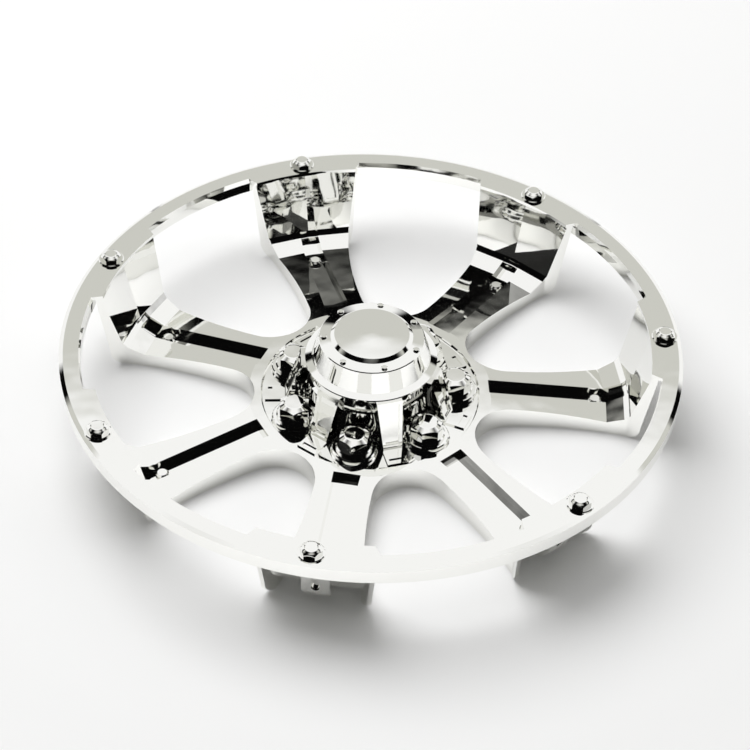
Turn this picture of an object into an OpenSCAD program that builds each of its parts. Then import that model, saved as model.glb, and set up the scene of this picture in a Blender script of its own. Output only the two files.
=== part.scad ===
// Seven spoke wheel cover, one moulding with a deep dish.
// It rests face up on the lower edges of its spokes: z = 0 is that plane, z is up,
// and the wheel's axis is the z axis. One spoke points along +Y.

/* [Rim ring] */
// Outside diameter of the cover
outer_d = 411; // [404:1:430]
// Diameter of the ring's inner edge between two spokes
ring_inner_d = 383.4; // [376:0.2:388]
// Height of the ring's face above the resting plane
face_h = 63; // [56:0.5:75]
// Depth of the ring's outer and inner walls, below the face
ring_depth = 10.5; // [7:0.5:16]
// Width of the shallow bevel round the ring's outer edge
rim_bevel_w = 2.7; // [1:0.1:4]
// Drop of that bevel
rim_bevel_drop = 1.2; // [0.5:0.1:2]
// Width of the steep bevel on the ring's inner edge
lip_bevel_w = 1; // [0.4:0.1:1.6]
// Drop of that bevel
lip_bevel_drop = 3.3; // [1:0.1:4]

/* [Mould walls] */
// Thickness of every moulded wall
wall = 2.6; // [2:0.1:3.2]

/* [Spokes] */
// Number of spokes, windows, nuts and rim bolts
spokes = 7; // [6:1:8]
// Narrowest width of an arm
arm_w = 38; // [30:0.5:44]
// Distance from the axis to the centre of a window's round inner end
window_end_r = 104.3; // [100:0.1:112]
// Radius of the long curve that widens an arm towards the rim
flare_r = 290; // [240:5:400]
// Distance along a spoke at which the heel starts to splay
heel_start = 171.6; // [168:0.1:174]
// Angle of the splayed heel from the spoke's centre line
heel_angle = 34.4; // [25:0.1:40]
// Angle by which each half of a dropped wall is turned from square
crease_angle = 4.9; // [2:0.1:8]

/* [Spoke side profile] */
// Distance from the axis to the top of the dropped wall, at the face
wall_top_r = 185.6; // [184:0.1:187]
// Distance from the axis to the foot of the dropped wall
wall_foot_r = 174.5; // [173:0.1:177]
// Height of the foot of the dropped wall above the resting plane
wall_foot_h = 18.1; // [17:0.1:20]
// Size of the chamfer in the foot
foot_chamfer = 3.2; // [1:0.1:4]
// Distance from the axis to the lower end of the ramp
ramp_end_r = 160; // [155:0.5:164]
// Height of an arm's face at the lower end of the ramp
ramp_end_h = 10; // [9.5:0.1:12]
// Distance from the axis at which an arm's face starts to fall
arm_start_r = 82; // [78:0.5:90]
// Height of the flat hub plate above the resting plane
hub_plate_h = 17; // [16:0.1:20]

/* [Skirts] */
// Radius of the skirts' back edge where it meets the face
skirt_top_r = 190.5; // [188.5:0.1:191.5]
// Radius of the skirts' back edge at the heel
skirt_heel_r = 183; // [180:0.1:185]
// Height of the heel's upper tangent
skirt_heel_h = 12; // [8:0.5:14]
// Radius of the round heel
skirt_heel_round = 11; // [8:0.5:13]

/* [Channels] */
// Distance from the axis to a channel's inner end
channel_start = 80.5; // [78:0.5:90]
// Distance from the axis to a channel's outer end
channel_end = 174.6; // [172:0.5:177]
// Width of a channel at its inner end
channel_w_in = 18; // [12:0.5:22]
// Width of a channel at its outer end
channel_w_out = 12.6; // [10:0.2:16]
// Depth of a channel below the arm's face
channel_depth = 5.8; // [3:0.1:6.2]
// Distance from the axis to the round stud in a channel
stud_r = 153.4; // [120:0.2:156]
// Diameter of that stud
stud_d = 8.8; // [6:0.2:11]
// Height of that stud above the channel's floor
stud_h = 3.2; // [1:0.1:4]

/* [Rim bolts] */
// Diameter of the circle through the rim bolts
bolt_circle_d = 390; // [388:0.5:392]
// Diameter of a bolt's washer face
bolt_washer_d = 17.4; // [14:0.2:19]
// Thickness of that washer face
bolt_washer_h = 1.3; // [0.6:0.1:2]
// Width across the flats of a bolt's head
bolt_af = 12.2; // [9:0.1:13]
// Height of a bolt's head above its washer face
bolt_head_h = 4.2; // [2:0.1:5]
// Diameter of the flat on top of a bolt's head
bolt_flat_d = 8.6; // [6:0.1:9]

/* [Lug nuts] */
// Diameter of the circle through the lug nuts
nut_circle_d = 114.3; // [112:0.1:118]
// Width across the flats of a nut
nut_af = 18.6; // [16:0.1:20]
// Height of a nut above its collar
nut_h = 9.4; // [6:0.1:12]
// Diameter of the round collar under a nut
collar_d = 24.2; // [22:0.2:26]
// Height of that collar
collar_h = 2.4; // [1:0.1:4]
// Diameter of the round seat under the collar
seat_d = 29.6; // [27:0.2:31]
// Height of that seat above the dish floor
seat_h = 3.7; // [1:0.1:4]
// Diameter of the pocket that clears a nut
pocket_d = 33.6; // [32:0.2:34.5]
// Diameter of the core behind a nut
nut_core_d = 11; // [8:0.5:13]

/* [Hub] */
// Radius of the step from the hub plate down to the dish round the nuts
dish_r = 73; // [71:0.1:75]
// Height of the dish floor above the resting plane
dish_h = 15.2; // [14:0.1:16.5]
// Radius of the hub's hollow, open to the back
hollow_r = 37.5; // [34:0.1:38]
// Radius of the hub's waist under the flange
waist_r = 41.3; // [40.5:0.1:42]
// Radius of the hub's foot, below the ledge over the pockets
foot_r = 43.6; // [43:0.1:45]
// Height of that ledge
ledge_h = 36; // [33:0.1:40]
// Height of the pockets' ceilings
pocket_top_h = 26; // [24:0.1:29]

/* [Ribs between the nuts] */
// Distance from the axis to a rib's face, at the flange
rib_top_r = 46.8; // [45:0.1:48]
// Distance from the axis to a rib's face, at the dish floor
rib_foot_r = 58; // [56:0.1:60]
// Drop of a rib's top below the flange's upper edge
rib_drop = 0.5; // [0.2:0.1:1]
// Width of a rib at the flange
rib_w_top = 17.4; // [14:0.2:18]
// Width of a rib at the dish floor
rib_w_foot = 12.4; // [10:0.2:13]
// Width of the frame round a rib's sunk panel
rib_frame = 2; // [1:0.1:3]
// Depth of that panel
rib_panel_depth = 1.6; // [0.5:0.1:2.4]
// Distance from the axis to the end of a rib's low plinth
toe_r = 71; // [66:0.1:72]
// Width of that plinth
toe_w = 14.2; // [13:0.2:15]
// Height of that plinth above the dish floor
toe_h = 1.2; // [0.6:0.1:1.6]
// Length of the slot sunk across the plinth
toe_slot = 3; // [1:0.2:5]

/* [Centre cap] */
// Radius of the flange under the cap
flange_r = 44.1; // [43:0.1:46]
// Height of the flange at the foot of the cap's drum
flange_h = 50.7; // [48:0.1:52]
// Drop of the flange from there to its edge
flange_fall = 1.9; // [0.5:0.1:3]
// Thickness of the flange
flange_t = 2; // [1:0.1:3]
// Radius of the cap's drum at the flange
drum_foot_r = 39.7; // [38.8:0.1:41]
// Radius of the drum at its top
drum_top_r = 35.2; // [33:0.1:37]
// Height of the drum's top above the ring's face
drum_rise = 2.1; // [0:0.1:5]
// Rise of the cap's sloping border, from the drum to the raised disc
border_rise = 1.1; // [0.4:0.1:2]
// Radius of the raised disc at its foot
disc_foot_r = 27.4; // [24:0.1:29]
// Radius of the raised disc at its top
disc_top_r = 24.9; // [20:0.1:27]
// Height of the raised disc
disc_rise = 2.1; // [0.5:0.1:3]
// Radius of the circle through the rivets
rivet_circle_r = 31.7; // [31:0.1:32]
// Diameter of a rivet's head
rivet_d = 4.6; // [3:0.1:5]
// Height of a rivet's head
rivet_h = 1.1; // [0.5:0.1:1.6]

/* [Boss behind each dropped wall] */
// Width of the boss
boss_w = 18; // [14:0.5:24]
// Radius of the boss's back face
boss_back_r = 182.3; // [181:0.1:184]
// Height of the boss's lower end above the resting plane
boss_low_h = 13.4; // [12:0.1:20]
// Width of the slot in the boss's back face
slot_w = 5.2; // [3:0.1:7]
// Depth of that slot
slot_depth = 2.4; // [1:0.1:3]
// Height of the slot's round end above the resting plane
slot_low_h = 18; // [16:0.5:24]

/* [Hidden] */

pitch = 360 / spokes;
half_pitch = pitch / 2;
outer_r = outer_d / 2;
ring_inner_r = ring_inner_d / 2;
bolt_r = bolt_circle_d / 2;
nut_r = nut_circle_d / 2;
ring_low_h = face_h - ring_depth;
window_end_round = window_end_r * sin(half_pitch) - arm_w / 2;
flare_start = window_end_r * cos(half_pitch);
heel_w = arm_w / 2 + flare_r - sqrt(flare_r * flare_r - pow(heel_start - flare_start, 2));
drum_top_h = face_h + drum_rise;
border_top_h = drum_top_h + border_rise;
disc_top_h = border_top_h + disc_rise;
rib_top_h = flange_h - flange_fall - rib_drop;
far = 2 * outer_r;
skin = 0.05;
$fn = 120;

// Height of an arm's face at a distance r from the axis
function arm_face_h(r) = hub_plate_h
    - (hub_plate_h - ramp_end_h) * max(r - arm_start_r, 0) / (ramp_end_r - arm_start_r);

// One copy for each spoke
module around(turn = 0) {
    for (i = [0 : spokes - 1]) rotate([0, 0, turn + i * pitch]) children();
}

// Stands a side profile, drawn as distance and height, across a spoke
module across(width) {
    rotate([90, 0, 90]) translate([0, 0, -width / 2]) linear_extrude(width) children();
}

// A window seen from above, on the +Y axis, wider all round by grow
module window_2d(grow = 0) {
    end_round = window_end_round + grow;
    shift = grow / cos(heel_angle);
    difference() {
        union() {
            translate([0, window_end_r]) circle(end_round);
            intersection() {
                for_side(-1) circle(flare_r + grow, $fn = 360);
                for_side(1) circle(flare_r + grow, $fn = 360);
                translate([-far, window_end_r - end_round * sin(half_pitch)]) square(2 * far);
            }
        }
        for (side = [-1, 1]) mirror([side > 0 ? 1 : 0, 0]) rotate([0, 0, half_pitch])
            polygon([
                [-far, heel_start],
                [heel_w - shift, heel_start],
                [heel_w - shift + (far - heel_start) * tan(heel_angle), far],
                [-far, far]
            ]);
    }
}

// Centre of the long curve along one side of a window
module for_side(side) {
    mirror([side > 0 ? 1 : 0, 0]) rotate([0, 0, half_pitch])
        translate([arm_w / 2 + flare_r, flare_start]) children();
}

// Hub plate and spokes seen from above, narrower all round by inset
module plan_2d(inset = 0) {
    difference() {
        circle(ring_inner_r + wall);
        around(half_pitch) window_2d(inset);
    }
}

// The open space in front of one spoke's ramp and dropped wall, moved back by depth
module wall_space(depth = 0) {
    ramp_slope = (wall_foot_h - foot_chamfer - ramp_end_h) / (wall_foot_r - foot_chamfer - ramp_end_r);
    lean = (wall_top_r - wall_foot_r) / (face_h - wall_foot_h);
    for_half() translate([0, 0.8 * depth, -depth]) across(4 * far) polygon([
        [-far, 2 * face_h],
        [-far, ramp_end_h - (far + ramp_end_r) * ramp_slope],
        [wall_foot_r - foot_chamfer, wall_foot_h - foot_chamfer],
        [wall_foot_r, wall_foot_h],
        [wall_foot_r + lean * (2 * face_h - wall_foot_h), 2 * face_h]
    ]);
}

// Both halves of a creased wall, each turned from square
module for_half() {
    intersection_for(side = [-1, 1]) rotate([0, 0, side * crease_angle]) children();
}

// The open space over the hub plate and the arms, moved down by depth
module arm_space(depth = 0) {
    translate([0, 0, -depth]) rotate_extrude() polygon([
        [0, 2 * face_h],
        [0, hub_plate_h],
        [arm_start_r, hub_plate_h],
        [outer_r, arm_face_h(outer_r)],
        [outer_r, 2 * face_h]
    ]);
}

// The whole dish, open to the front
module dish_space(depth = 0) {
    intersection() {
        arm_space(depth);
        intersection_for(i = [0 : spokes - 1]) rotate([0, 0, i * pitch]) wall_space(depth);
    }
}

// Zone of the skirts, with a round heel
module skirt_zone() {
    rotate_extrude() union() {
        polygon([
            [0, 0],
            [skirt_heel_r - skirt_heel_round, 0],
            [skirt_heel_r - skirt_heel_round, skirt_heel_h],
            [skirt_heel_r, skirt_heel_h],
            [skirt_top_r, face_h - skin],
            [0, face_h - skin]
        ]);
        intersection() {
            translate([skirt_heel_r - skirt_heel_round, skirt_heel_round]) circle(skirt_heel_round);
            square([skirt_heel_r, skirt_heel_h + skin]);
        }
    }
}

// Hub plate, arms, ramps and dropped walls as one skin, with skirts round the windows
module dish_skin() {
    difference() {
        intersection() {
            linear_extrude(face_h - skin) plan_2d();
            union() {
                dish_space(wall);
                difference() {
                    skirt_zone();
                    translate([0, 0, -1]) linear_extrude(face_h + 2) plan_2d(wall);
                }
            }
        }
        dish_space();
    }
}

// Face of the ring's tabs over the dropped walls
module tabs() {
    translate([0, 0, face_h - wall]) linear_extrude(wall) difference() {
        plan_2d();
        circle(wall_top_r - 0.4);
    }
}

// Rim ring, an open channel turned down
module ring() {
    rotate_extrude($fn = 240) polygon([
        [outer_r, ring_low_h],
        [outer_r, face_h - rim_bevel_drop],
        [outer_r - rim_bevel_w, face_h],
        [ring_inner_r + lip_bevel_w, face_h],
        [ring_inner_r, face_h - lip_bevel_drop],
        [ring_inner_r, ring_low_h],
        [ring_inner_r + wall, ring_low_h],
        [ring_inner_r + wall, face_h - wall - lip_bevel_drop / 2],
        [outer_r - wall, face_h - wall - lip_bevel_drop / 2],
        [outer_r - wall, ring_low_h]
    ]);
}

// A channel seen from above, wider all round by grow
module channel_2d(grow = 0) {
    polygon([
        [-channel_w_in / 2 - grow, channel_start - grow],
        [channel_w_in / 2 + grow, channel_start - grow],
        [channel_w_out / 2 + grow, channel_end + grow],
        [-channel_w_out / 2 - grow, channel_end + grow]
    ]);
}

// The open space of one channel along an arm, its sides and floor further out by depth
module channel_space(depth = 0) {
    intersection() {
        linear_extrude(face_h - skin) channel_2d(depth);
        arm_space(channel_depth + depth);
        wall_space(channel_depth + depth);
    }
}

// Channel walls and floors under the arms
module channel_trays() {
    difference() {
        around() channel_space(wall);
        dish_space();
    }
}

// Round stud on a channel's floor
module stud() {
    floor_h = arm_face_h(stud_r) - channel_depth;
    translate([0, stud_r, floor_h - wall / 2]) rotate_extrude() polygon([
        [0, 0],
        [stud_d / 2, 0],
        [stud_d / 2, wall / 2 + stud_h - 1],
        [stud_d / 2 - 1.2, wall / 2 + stud_h],
        [0, wall / 2 + stud_h]
    ]);
}

// Slotted boss on the back of a dropped wall
module boss() {
    difference() {
        intersection() {
            translate([-boss_w / 2, wall_foot_r - 6, boss_low_h])
                cube([boss_w, 30, face_h - wall - boss_low_h]);
            cylinder(r = boss_back_r, h = face_h, $fn = 360);
        }
        wall_space(wall / 2);
        translate([0, boss_back_r - slot_depth, 0]) rotate([-90, 0, 0]) linear_extrude(20) union() {
            translate([0, -slot_low_h]) circle(slot_w / 2);
            translate([-slot_w / 2, -face_h]) square([slot_w, face_h - slot_low_h]);
        }
    }
}

// Outside of the hub from the dish floor to the cap's disc
module hub_body() {
    rotate_extrude() polygon([
        [0, dish_h - wall],
        [foot_r, dish_h - wall],
        [foot_r, ledge_h],
        [waist_r, ledge_h + 0.8],
        [waist_r, flange_h - flange_fall - flange_t],
        [flange_r - 0.8, flange_h - flange_fall - flange_t],
        [flange_r, flange_h - flange_fall - flange_t + 0.8],
        [flange_r, flange_h - flange_fall],
        [drum_foot_r, flange_h],
        [drum_top_r, drum_top_h - 0.5],
        [drum_top_r - 0.5, drum_top_h],
        [disc_foot_r, border_top_h],
        [disc_top_r, disc_top_h],
        [0, disc_top_h + 0.4]
    ]);
}

// A rib's front view on its radial plane, narrower all round by inset
module rib_front_2d(inset = 0) {
    slant = (rib_w_top - rib_w_foot) / 2 / (rib_top_h - dish_h);
    low = dish_h - wall + inset;
    high = rib_top_h - inset;
    low_w = rib_w_foot / 2 - inset + slant * (low - dish_h);
    high_w = rib_w_foot / 2 - inset + slant * (high - dish_h);
    polygon([[-low_w, low], [low_w, low], [high_w, high], [-high_w, high]]);
}

// A rib's side view, its face nearer the axis by inset
module rib_side_2d(inset = 0) {
    slope = (rib_foot_r - rib_top_r) / (rib_top_h - dish_h);
    polygon([
        [0, 0],
        [rib_foot_r - inset + slope * dish_h, 0],
        [rib_top_r - inset, rib_top_h],
        [0, rib_top_h]
    ]);
}

// One rib, smaller all round by inset
module rib(inset = 0) {
    intersection() {
        across(3 * rib_w_top) rib_side_2d(inset);
        rotate([90, 0, 180]) linear_extrude(far) rib_front_2d(inset);
    }
}

// Panel sunk in a rib's face
module rib_panel() {
    difference() {
        rotate([90, 0, 180]) linear_extrude(far) intersection() {
            rib_front_2d(rib_frame);
            translate([-far, dish_h + rib_frame + 1]) square([2 * far, far]);
        }
        across(3 * rib_w_top) rib_side_2d(rib_panel_depth);
    }
}

// Low plinth that carries a rib out to the hub plate
module rib_toe() {
    difference() {
        translate([-toe_w / 2, foot_r - 2, dish_h - wall / 2])
            cube([toe_w, toe_r - foot_r + 2, wall / 2 + toe_h]);
        translate([-toe_w / 2 + rib_frame, toe_r - 2 - toe_slot, dish_h + 0.3])
            cube([toe_w - 2 * rib_frame, toe_slot, wall]);
    }
}

// Hexagonal nut on its collar and seat
module nut() {
    corner_r = nut_af / 2 / cos(30);
    collar_low = dish_h + seat_h;
    nut_low = collar_low + collar_h;
    translate([0, nut_r, 0]) {
        rotate_extrude() polygon([
            [0, dish_h - wall / 2],
            [seat_d / 2 + 0.8, dish_h - wall / 2],
            [seat_d / 2 + 0.8, dish_h],
            [seat_d / 2, dish_h + 0.8],
            [seat_d / 2, collar_low - 0.6],
            [seat_d / 2 - 0.6, collar_low],
            [collar_d / 2, collar_low],
            [collar_d / 2, nut_low - 0.9],
            [collar_d / 2 - 0.9, nut_low],
            [0, nut_low]
        ]);
        intersection() {
            translate([0, 0, nut_low - skin]) rotate([0, 0, 30])
                cylinder(r = corner_r, h = nut_h + skin, $fn = 6);
            rotate_extrude() polygon([
                [0, nut_low - 1],
                [corner_r + 0.2, nut_low - 1],
                [corner_r + 0.2, nut_low + nut_h - 2.7],
                [nut_af / 2 - 0.6, nut_low + nut_h - 1.3],
                [nut_af / 2 - 2.2, nut_low + nut_h - 0.3],
                [nut_af / 2 - 3, nut_low + nut_h],
                [0, nut_low + nut_h]
            ]);
        }
    }
}

// Hexagonal bolt head on the ring's face
module rim_bolt() {
    corner_r = bolt_af / 2 / cos(30);
    translate([0, bolt_r, face_h]) {
        rotate_extrude() polygon([
            [0, -wall / 2],
            [bolt_washer_d / 2, -wall / 2],
            [bolt_washer_d / 2, bolt_washer_h - 0.5],
            [bolt_washer_d / 2 - 0.6, bolt_washer_h],
            [0, bolt_washer_h]
        ]);
        intersection() {
            cylinder(r = corner_r, h = bolt_washer_h + bolt_head_h, $fn = 6);
            rotate_extrude() polygon([
                [0, 0],
                [corner_r + 0.2, 0],
                [corner_r + 0.2, bolt_washer_h + bolt_head_h - 2.4],
                [bolt_af / 2 - 0.4, bolt_washer_h + bolt_head_h - 1.2],
                [bolt_flat_d / 2, bolt_washer_h + bolt_head_h - 0.2],
                [bolt_flat_d / 2 - 0.6, bolt_washer_h + bolt_head_h],
                [0, bolt_washer_h + bolt_head_h]
            ]);
        }
    }
}

// Rivet head on the cap's sloping border
module rivet() {
    border_h = drum_top_h + border_rise * (drum_top_r - rivet_circle_r) / (drum_top_r - disc_foot_r);
    translate([0, rivet_circle_r, border_h]) rotate_extrude() polygon([
        [0, -wall / 2],
        [rivet_d / 2, -wall / 2],
        [rivet_d / 2, rivet_h - 0.6],
        [rivet_d / 2 - 0.6, rivet_h],
        [0, rivet_h]
    ]);
}

// Hollow of the hub, open to the back
module hub_hollow() {
    rotate_extrude() polygon([
        [0, -1],
        [hollow_r, -1],
        [hollow_r, flange_h - flange_fall - wall],
        [drum_top_r - wall, drum_top_h - wall],
        [0, drum_top_h - wall]
    ]);
    around(half_pitch) intersection() {
        rib(wall + 0.8);
        translate([-far, 0, 0]) cube([2 * far, far, flange_h - flange_fall - 2 * wall]);
    }
    around(half_pitch) intersection() {
        translate([-rib_w_foot / 2 + wall + 0.8, hollow_r - 5, -1])
            cube([rib_w_foot - 2 * wall - 1.6, rib_foot_r - wall - 0.8 - hollow_r + 5, dish_h + wall + 1]);
        cylinder(r = far, h = far);
    }
    around() translate([0, nut_r, 0])
        cylinder(d = nut_core_d, h = dish_h + seat_h + collar_h + nut_h - wall);
}

// Nuts, ribs and cap on the hub plate
module hub() {
    difference() {
        union() {
            difference() {
                hub_body();
                around() translate([0, nut_r, 0]) cylinder(d = pocket_d, h = pocket_top_h);
            }
            around(half_pitch) difference() {
                rib();
                rib_panel();
            }
            around(half_pitch) rib_toe();
            around() nut();
            around(half_pitch) rivet();
        }
        hub_hollow();
    }
}

module hubcap() {
    color("silver") {
        ring();
        tabs();
        difference() {
            union() {
                dish_skin();
                channel_trays();
                translate([0, 0, dish_h - wall]) cylinder(r = dish_r + wall, h = wall + skin);
            }
            around() channel_space();
            translate([0, 0, dish_h]) cylinder(r1 = dish_r, r2 = dish_r + 1, h = hub_plate_h - dish_h + skin);
            hub_hollow();
        }
        around() stud();
        around() boss();
        around() rim_bolt();
        hub();
    }
}

hubcap();
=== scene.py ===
# %% [markdown]
# # A plated wheel cover with seven spokes
# The real object is one injection moulding with a mirror-bright plated skin. It lies face up,
# on the lower edges of its spokes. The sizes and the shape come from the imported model, and
# this lesson gives it its finish, its studio and its camera.

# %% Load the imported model
import math

import bpy
from mathutils import Matrix, Vector

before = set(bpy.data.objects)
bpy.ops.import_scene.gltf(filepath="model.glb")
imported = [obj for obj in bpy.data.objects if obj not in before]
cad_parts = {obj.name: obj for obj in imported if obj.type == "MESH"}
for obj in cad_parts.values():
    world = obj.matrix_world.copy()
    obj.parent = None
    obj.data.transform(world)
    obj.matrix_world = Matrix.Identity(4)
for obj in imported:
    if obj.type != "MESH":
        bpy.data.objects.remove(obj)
bpy.context.scene.view_settings.view_transform = "Standard"
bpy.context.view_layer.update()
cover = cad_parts["hubcap"]

# %% [markdown]
# ## The camera
# A catalogue picture like this is taken with a long lens from above and in front, so that the
# ring stays nearly a true ellipse. The lens, the place and the slight tilt of the camera below
# were worked out from the ring, the bolts and the rivets.

# %% Camera
FACE_HEIGHT = 0.063           # the ring's face above the floor, in metres
CAMERA_DISTANCE = 1.41835     # from the centre of the ring's face
CAMERA_HEIGHT_ANGLE = 41.757  # degrees above the ring's plane
CAMERA_TURN = -16.247         # degrees round the wheel's axis, from looking along +Y
LENS = 102.96                 # mm on a 36 mm sensor


def turn(degrees, axis):
    """A turn about one axis, as a 4 by 4 matrix."""
    return Matrix.Rotation(math.radians(degrees), 4, axis)


camera_data = bpy.data.cameras.new("camera")
camera_data.lens = LENS
camera_data.sensor_width = 36
camera_data.clip_end = 50
camera = bpy.data.objects.new("camera", camera_data)
bpy.context.scene.collection.objects.link(camera)
bpy.context.scene.camera = camera
round_axis = turn(CAMERA_TURN, "Z")
height = math.radians(CAMERA_HEIGHT_ANGLE)
stand = Vector((0, -math.cos(height), math.sin(height))) * CAMERA_DISTANCE
aim = turn(90 - CAMERA_HEIGHT_ANGLE, "X") @ turn(-0.116, "Y") @ turn(-0.945, "X") @ turn(1.777, "Z")
camera.matrix_world = (
    Matrix.Translation((0, 0, FACE_HEIGHT)) @ round_axis @ Matrix.Translation(stand) @ aim
)
print("camera stands at", [round(v, 3) for v in camera.matrix_world.translation])

# %% [markdown]
# ## Small helpers for finishes
# Colours are written as the hex values that a colour picker gives, and one function turns
# them to the linear values that Blender's nodes expect. One more function adds a node, gives
# it its settings and joins its links, which keeps each finish short enough to read.


# %% Helpers
def colour(hex_value):
    """An sRGB hex colour as linear red, green, blue and alpha."""
    parts = [int(hex_value[i:i + 2], 16) / 255 for i in (1, 3, 5)]
    return [p / 12.92 if p <= 0.04045 else ((p + 0.055) / 1.055) ** 2.4 for p in parts] + [1.0]


def add_node(tree, kind, settings=None, **links):
    """Adds a node. A link's name is the input's name, with _ for a space; a value is set as it is."""
    node = tree.nodes.new(kind)
    for name, value in (settings or {}).items():
        setattr(node, name, value)
    for name, value in links.items():
        if name[0] == "n" and name[1:].isdigit():
            socket = node.inputs[int(name[1:])]
        else:
            socket = node.inputs[name.replace("_", " ")]
        if isinstance(value, bpy.types.NodeSocket):
            tree.links.new(value, socket)
        else:
            socket.default_value = value
    return node


def new_material(name):
    """An empty material with its output node."""
    material = bpy.data.materials.new(name)
    material.use_nodes = True
    tree = material.node_tree
    tree.nodes.clear()
    return material, tree, tree.nodes.new("ShaderNodeOutputMaterial")


# %% [markdown]
# ## The plating
# Decorative plating is a copper, nickel and chromium skin a few hundredths of a millimetre
# thick on ABS plastic. The eye reads it as a mirror: its colour is a neutral light grey and
# its roughness is close to nothing. A moulding is never quite flat, though, so the mirror
# swims a little over a few centimetres, and fine dust dulls it in places.

# %% Plating
PLATING = "#F4F4F1"
SWIM_MM = 24      # spacing of the slow waves in a moulded face
DUST_MM = 1.4     # spacing of the dust and fine pits

plating, tree, output = new_material("chromium_plating_on_abs")
place = add_node(tree, "ShaderNodeTexCoord")
waves = add_node(tree, "ShaderNodeTexNoise", Vector=place.outputs["Object"],
                 Scale=1000 / SWIM_MM, Detail=1.5, Roughness=0.4)
waves_bump = add_node(tree, "ShaderNodeBump", Height=waves.outputs["Fac"],
                      Strength=0.25, Distance=0.0006)
dust = add_node(tree, "ShaderNodeTexNoise", Vector=place.outputs["Object"],
                Scale=1000 / DUST_MM, Detail=3, Roughness=0.6)
dust_amount = add_node(tree, "ShaderNodeMapRange", Value=dust.outputs["Fac"],
                       From_Min=0.56, From_Max=0.8, To_Min=0.03, To_Max=0.1)
metal = add_node(tree, "ShaderNodeBsdfPrincipled", Base_Color=colour(PLATING), Metallic=1.0,
                 Roughness=dust_amount.outputs["Result"], Normal=waves_bump.outputs["Normal"])
tree.links.new(metal.outputs["BSDF"], output.inputs["Surface"])

for finish_slot in cover.material_slots:
    finish_slot.material = plating

# %% [markdown]
# ## The floor
# The cover lies on a white sweep. A plain matt surface takes the soft shadow, and it goes on
# far past the picture, so that every view sees floor and no edge.

# %% Floor
bpy.ops.object.select_all(action="DESELECT")
bpy.ops.mesh.primitive_circle_add(vertices=64, radius=12, fill_type="NGON", location=(0, 0, 0))
floor = bpy.context.object
floor.name = "floor"
paper, tree, output = new_material("matt_white_paper")
sheet = add_node(tree, "ShaderNodeBsdfDiffuse", Color=colour("#FAFAFA"), Roughness=0.6)
tree.links.new(sheet.outputs["BSDF"], output.inputs["Surface"])
floor.data.materials.append(paper)

# %% [markdown]
# ## The studio
# A mirror shows nothing of its own: it shows the room. So the room is what has to be right. It
# is drawn in the world as bands of light and dark by direction: a white sweep near the
# horizon, a dark gap over it, a grey ceiling and a big soft light overhead, with a dark room
# behind the camera. The camera itself sees plain white.

# %% Studio
FAR_SIDE = [   # degrees above the horizon, colour
    (0, "#FFFFFF"), (25, "#FFFFFF"), (27, "#050505"), (32, "#050505"), (34, "#D2D2CC"),
    (42, "#D2D2CC"), (44, "#FFFFFF"), (90, "#FFFFFF"),
]
NEAR_SIDE = [
    (0, "#F4F4F0"), (10, "#B4B4AE"), (22, "#303030"), (34, "#080808"), (56, "#080808"),
    (64, "#D8D8D4"), (70, "#FFFFFF"), (90, "#FFFFFF"),
]


def bands(tree, height_socket, stops):
    """A colour ramp over height, from the horizon to straight up."""
    ramp = add_node(tree, "ShaderNodeValToRGB", Fac=height_socket)
    ramp.color_ramp.interpolation = "LINEAR"
    elements = ramp.color_ramp.elements
    while len(elements) > 1:
        elements.remove(elements[-1])
    for count, (degrees, hex_value) in enumerate(stops):
        element = elements[0] if count == 0 else elements.new(degrees / 90)
        element.position = degrees / 90
        element.color = colour(hex_value)
    return ramp.outputs["Color"]


world = bpy.data.worlds.new("studio")
bpy.context.scene.world = world
world.use_nodes = True
tree = world.node_tree
tree.nodes.clear()
output = tree.nodes.new("ShaderNodeOutputWorld")
direction = add_node(tree, "ShaderNodeTexCoord").outputs["Generated"]
turned = add_node(tree, "ShaderNodeVectorRotate", {"rotation_type": "Z_AXIS"}, Vector=direction,
                  Angle=math.radians(-CAMERA_TURN))
parts = add_node(tree, "ShaderNodeSeparateXYZ", Vector=turned.outputs["Vector"])
rise = add_node(tree, "ShaderNodeMath", {"operation": "ARCSINE", "use_clamp": False}, n0=parts.outputs["Z"])
height_share = add_node(tree, "ShaderNodeMath", {"operation": "DIVIDE", "use_clamp": True},
                        n0=rise.outputs["Value"], n1=math.pi / 2)
far_share = add_node(tree, "ShaderNodeMapRange", {"interpolation_type": "SMOOTHSTEP"},
                     Value=parts.outputs["Y"], From_Min=-0.15, From_Max=0.15)
room = add_node(tree, "ShaderNodeMix", {"data_type": "RGBA"}, n0=far_share.outputs["Result"])
tree.links.new(bands(tree, height_share.outputs["Value"], NEAR_SIDE), room.inputs[6])
tree.links.new(bands(tree, height_share.outputs["Value"], FAR_SIDE), room.inputs[7])
light_path = add_node(tree, "ShaderNodeLightPath")
seen = add_node(tree, "ShaderNodeMix", {"data_type": "RGBA"}, n0=light_path.outputs["Is Camera Ray"])
tree.links.new(room.outputs[2], seen.inputs[6])
seen.inputs[7].default_value = colour("#FFFFFF")
background = add_node(tree, "ShaderNodeBackground", Color=seen.outputs[2], Strength=1.0)
tree.links.new(background.outputs["Background"], output.inputs["Surface"])

# %% [markdown]
# One large soft lamp hangs over the back left of the sweep. It brings the paper up to white
# and gives the soft shadow in front and to the right.

# %% Lamp
lamp_data = bpy.data.lights.new("soft_lamp", "AREA")
lamp_data.shape = "DISK"
lamp_data.size = 2.4
lamp_data.energy = 52
lamp = bpy.data.objects.new("soft_lamp", lamp_data)
bpy.context.scene.collection.objects.link(lamp)
lamp_place = round_axis @ Vector((-0.9, 0.9, 2.2))
lamp.location = lamp_place
lamp.rotation_euler = (-lamp_place).to_track_quat("-Z", "Y").to_euler()
lamp.visible_glossy = False
